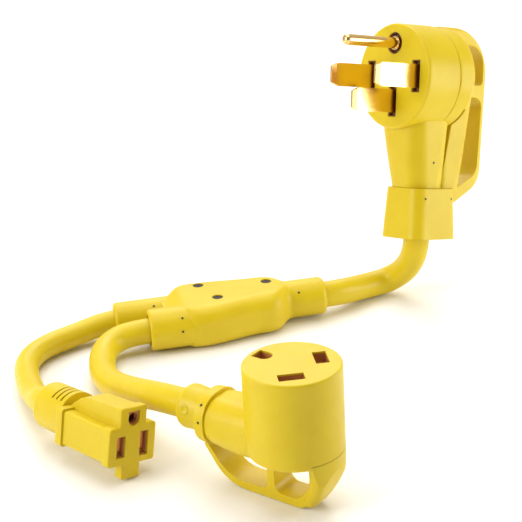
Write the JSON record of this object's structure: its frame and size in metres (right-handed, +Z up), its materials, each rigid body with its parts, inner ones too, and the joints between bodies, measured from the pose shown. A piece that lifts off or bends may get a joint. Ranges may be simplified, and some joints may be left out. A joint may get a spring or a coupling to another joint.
{
  "type": "power adapter splitter",
  "caption": "Yellow moulded caravan power adapter: a large four-prong plug with finger grip feeds, through a Y splitter block, a round grip outlet and a small straight outlet on short cords.",
  "frame": {"origin": "under the middle of the box round everything but the three cords, on the standing plane", "axes": "+Z up and out of the round outlet's face; +X towards the plug; +Y towards the back, where the splitter and plug are"},
  "size_m": [0.253, 0.2689, 0.1502],
  "materials": {
    "yellow_moulding": "soft glossy moulded PVC",
    "cord_jacket": "soft glossy extruded PVC jacket",
    "carrier": "dark brown moulded insulator",
    "brass_blade": "polished brass",
    "brass_contact": "stamped brass, slightly dull",
    "crimp_metal": "tinned copper barrel",
    "red_wire": "PVC insulation",
    "black_wire": "PVC insulation",
    "white_wire": "PVC insulation",
    "green_wire": "PVC insulation"
  },
  "bodies": {
    "root": {"plug_body": "yellow_moulding", "plug_handle": "yellow_moulding", "plug_blade_carrier": "carrier", "plug_hot_blade_left": "brass_blade", "plug_hot_blade_right": "brass_blade", "plug_neutral_blade": "brass_blade", "plug_earth_pin": "brass_blade", "plug_red_wire": "red_wire", "plug_black_wire": "black_wire", "plug_white_wire": "white_wire", "plug_green_wire": "green_wire", "outlet30_body": "yellow_moulding", "outlet30_handle": "yellow_moulding", "outlet30_strain_relief": "yellow_moulding", "outlet30_contact_carrier": "carrier", "outlet30_line_contact": "brass_contact", "outlet30_neutral_contact": "brass_contact", "outlet30_earth_contact": "brass_contact", "outlet30_green_wire": "green_wire", "outlet30_black_wire": "black_wire", "outlet30_white_wire": "white_wire", "outlet15_body": "yellow_moulding", "outlet15_strain_relief": "yellow_moulding", "outlet15_contact_carrier": "carrier", "outlet15_line_contact": "brass_contact", "outlet15_neutral_contact": "brass_contact", "outlet15_earth_contact": "brass_contact", "outlet15_green_wire": "green_wire", "outlet15_black_wire": "black_wire", "outlet15_white_wire": "white_wire", "splitter_body": "yellow_moulding", "splitter_core": "carrier", "splitter_crimp_barrels": "crimp_metal", "splitter_black_wires": "black_wire", "splitter_white_wires": "white_wire", "splitter_green_wires": "green_wire", "splitter_red_wires": "red_wire", "main_cord": "cord_jacket", "cord_30a": "cord_jacket", "cord_15a": "cord_jacket"}
  },
  "joints": []
}
